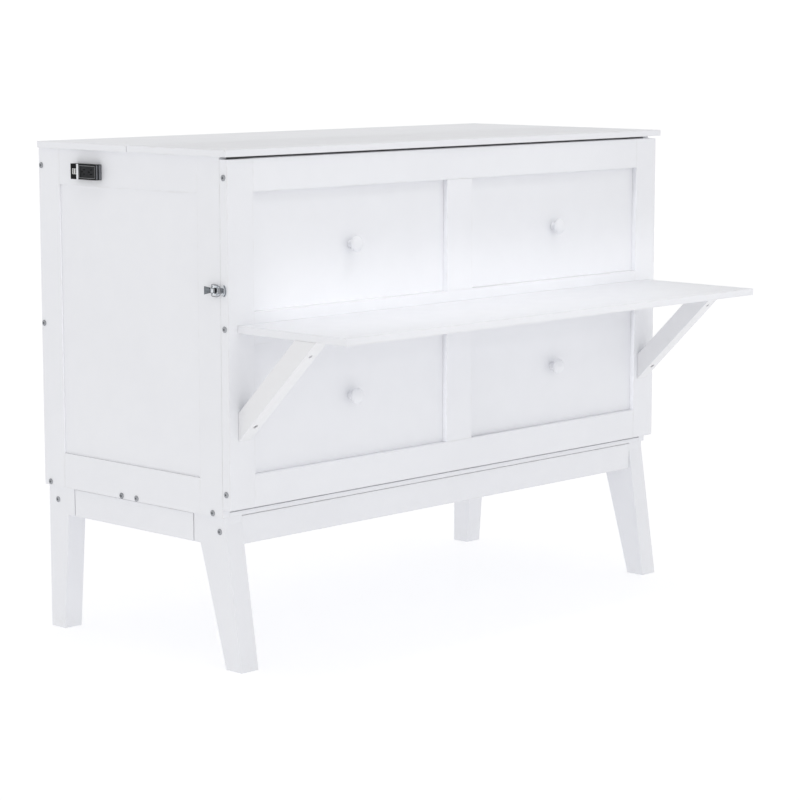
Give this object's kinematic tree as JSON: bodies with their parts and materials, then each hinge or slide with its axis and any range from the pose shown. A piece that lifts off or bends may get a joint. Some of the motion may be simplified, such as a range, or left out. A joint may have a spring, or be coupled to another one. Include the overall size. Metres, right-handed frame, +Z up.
{
  "type": "murphy wall bed",
  "caption": "Cabinet bed: a chest on splayed legs whose framed front, with knobs and a desk shelf, folds down into a slatted bed base; folding top flap, toggle latches, charging outlet.",
  "frame": {"origin": "on the floor, below the middle of the whole closed object, with the desk shelf counted in", "axes": "+Z up, -Y to the front where the desk shelf is, +X to the right of someone facing the front"},
  "size_m": [1.506, 0.9776, 1.144],
  "materials": {
    "white_paint": "satin white lacquer on wood and board",
    "slat_timber": "clear sealed softwood",
    "hinge_steel": "plain bright steel",
    "latch_steel": "zinc plated steel",
    "hoop_paint": "white powder coat on steel tube",
    "black_plastic": "moulded black plastic",
    "white_plastic": "moulded white plastic"
  },
  "bodies": {
    "cabinet": {"back_panel": "white_paint", "base_back_rail": "white_paint", "base_front_rail": "white_paint", "base_side_rail_left": "white_paint", "base_side_rail_right": "white_paint", "bottom_board": "white_paint", "head_slat_deck": "slat_timber", "latch_base_left": "latch_steel", "latch_base_right": "latch_steel", "leg_back_left": "white_paint", "leg_back_right": "white_paint", "leg_front_left": "white_paint", "leg_front_right": "white_paint", "outlet_housing": "black_plastic", "outlet_socket": "black_plastic", "outlet_trim_strip": "latch_steel", "outlet_usb_block": "white_plastic", "panel_hinge_lower_leaf": "hinge_steel", "side_left_back_stile": "white_paint", "side_left_bottom_rail": "white_paint", "side_left_field": "white_paint", "side_left_front_stile": "white_paint", "side_left_top_rail": "white_paint", "side_right_back_stile": "white_paint", "side_right_bottom_rail": "white_paint", "side_right_field": "white_paint", "side_right_front_stile": "white_paint", "side_right_top_rail": "white_paint", "top_rear_board": "white_paint"},
    "front_panel": {"desk_brace_left": "white_paint", "desk_brace_right": "white_paint", "desk_shelf": "white_paint", "foot_hinge_middle_leaf": "hinge_steel", "knob_lower_left": "white_paint", "knob_lower_right": "white_paint", "knob_upper_left": "white_paint", "knob_upper_right": "white_paint", "latch_strike_left": "latch_steel", "latch_strike_right": "latch_steel", "middle_slat_deck": "slat_timber", "panel_bottom_rail": "white_paint", "panel_field_lower_left": "white_paint", "panel_field_lower_right": "white_paint", "panel_field_upper_left": "white_paint", "panel_field_upper_right": "white_paint", "panel_hinge_upper_leaf": "hinge_steel", "panel_mid_rail": "white_paint", "panel_muntin_lower": "white_paint", "panel_muntin_upper": "white_paint", "panel_stile_left": "white_paint", "panel_stile_right": "white_paint", "panel_top_rail": "white_paint"},
    "foot_section": {"foot_hinge_foot_leaf": "hinge_steel", "foot_slat_deck": "slat_timber"},
    "foot_hoop": {"foot_hoop": "hoop_paint"},
    "top_flap": {"top_front_flap": "white_paint"},
    "latch_lever_left": {"latch_lever_left": "latch_steel"},
    "latch_bail_left": {"latch_bail_left": "latch_steel"},
    "latch_lever_right": {"latch_lever_right": "latch_steel"},
    "latch_bail_right": {"latch_bail_right": "latch_steel"}
  },
  "joints": [
    {"name": "front_panel_fold", "type": "hinge", "parent": "cabinet", "child": "front_panel", "pos_m": [0, -0.13175, 0.358], "axis": [1, 0, 0], "range_deg": [0, 90]},
    {"name": "foot_section_unfold", "type": "hinge", "parent": "front_panel", "child": "foot_section", "pos_m": [0, -0.10125, 1.1235], "axis": [1, 0, 0], "range_deg": [0, 180]},
    {"name": "foot_hoop_swing", "type": "hinge", "parent": "foot_section", "child": "foot_hoop", "pos_m": [0, -0.07075, 0.6185], "axis": [-1, 0, 0], "range_deg": [0, 90]},
    {"name": "top_flap_fold", "type": "hinge", "parent": "cabinet", "child": "top_flap", "pos_m": [0, 0.16275, 1.1445], "axis": [1, 0, 0], "range_deg": [-180, 0]},
    {"name": "latch_lever_left_swing", "type": "hinge", "parent": "cabinet", "child": "latch_lever_left", "pos_m": [-0.741, -0.12125, 0.841], "axis": [0, 0, 1], "range_deg": [0, 110]},
    {"name": "latch_lever_right_swing", "type": "hinge", "parent": "cabinet", "child": "latch_lever_right", "pos_m": [0.741, -0.12125, 0.841], "axis": [0, 0, -1], "range_deg": [0, 110]},
    {"name": "latch_bail_left_swing", "type": "hinge", "parent": "latch_lever_left", "child": "latch_bail_left", "pos_m": [-0.741, -0.10975, 0.841], "axis": [0, 0, 1], "range_deg": [-110, 0]},
    {"name": "latch_bail_right_swing", "type": "hinge", "parent": "latch_lever_right", "child": "latch_bail_right", "pos_m": [0.741, -0.10975, 0.841], "axis": [0, 0, -1], "range_deg": [-110, 0]}
  ],
  "couplings": [
    {"joint": "foot_section_unfold", "follows": "front_panel_fold", "ratio": 2},
    {"joint": "top_flap_fold", "follows": "front_panel_fold", "ratio": -2},
    {"joint": "latch_bail_left_swing", "follows": "latch_lever_left_swing", "ratio": -1},
    {"joint": "latch_bail_right_swing", "follows": "latch_lever_right_swing", "ratio": -1}
  ]
}
